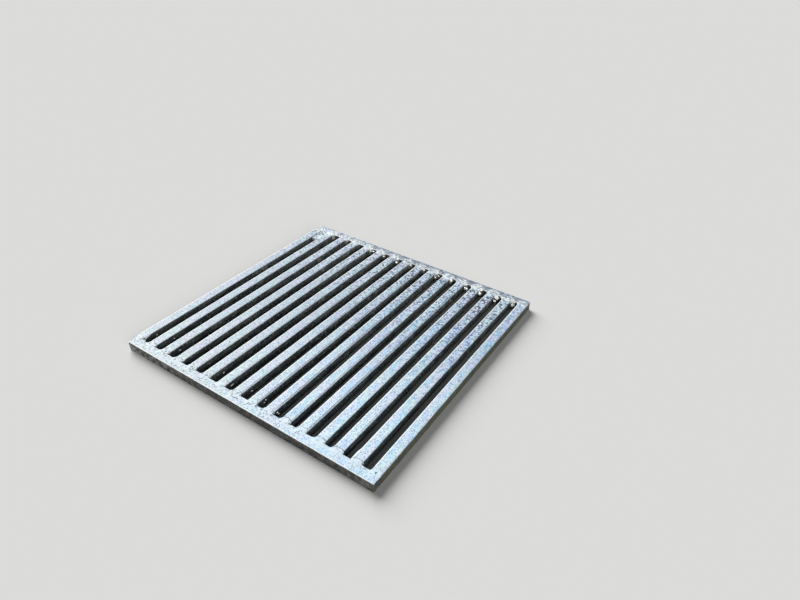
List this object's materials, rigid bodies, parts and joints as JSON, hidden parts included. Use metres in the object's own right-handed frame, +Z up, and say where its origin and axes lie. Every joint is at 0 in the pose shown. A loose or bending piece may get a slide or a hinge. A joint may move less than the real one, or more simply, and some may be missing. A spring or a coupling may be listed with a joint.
{
  "type": "drainage grate",
  "caption": "Small square drain grate: square steel bars side by side, butt welded between end bars, with open slots, hot-dip galvanised.",
  "frame": {"origin": "centre of the underside, midway between the outer faces of the edge bars and of the end bars", "axes": "+Z up, out of the ground; +Y along the slot bars from the front end bar to the back end bar; +X across the bars to the right edge bar"},
  "size_m": [0.3, 0.298, 0.0104],
  "materials": {
    "galvanised_bar": "matte hot-dip zinc, pale blue grey, with dirt and a little rust on the sides",
    "galvanised_weld": "hot-dip zinc over rippled weld metal, ground nearly flush on top"
  },
  "bodies": {
    "root": {"front_end_bar": "galvanised_bar", "back_end_bar": "galvanised_bar", "left_edge_bar": "galvanised_bar", "right_edge_bar": "galvanised_bar", "bar_01": "galvanised_bar", "bar_02": "galvanised_bar", "bar_03": "galvanised_bar", "bar_04": "galvanised_bar", "bar_05": "galvanised_bar", "bar_06": "galvanised_bar", "bar_07": "galvanised_bar", "bar_08": "galvanised_bar", "bar_09": "galvanised_bar", "bar_10": "galvanised_bar", "bar_11": "galvanised_bar", "bar_12": "galvanised_bar", "bar_13": "galvanised_bar", "bar_14": "galvanised_bar", "front_welds": "galvanised_weld", "back_welds": "galvanised_weld", "slot_end_weld": "galvanised_weld"}
  },
  "joints": []
}
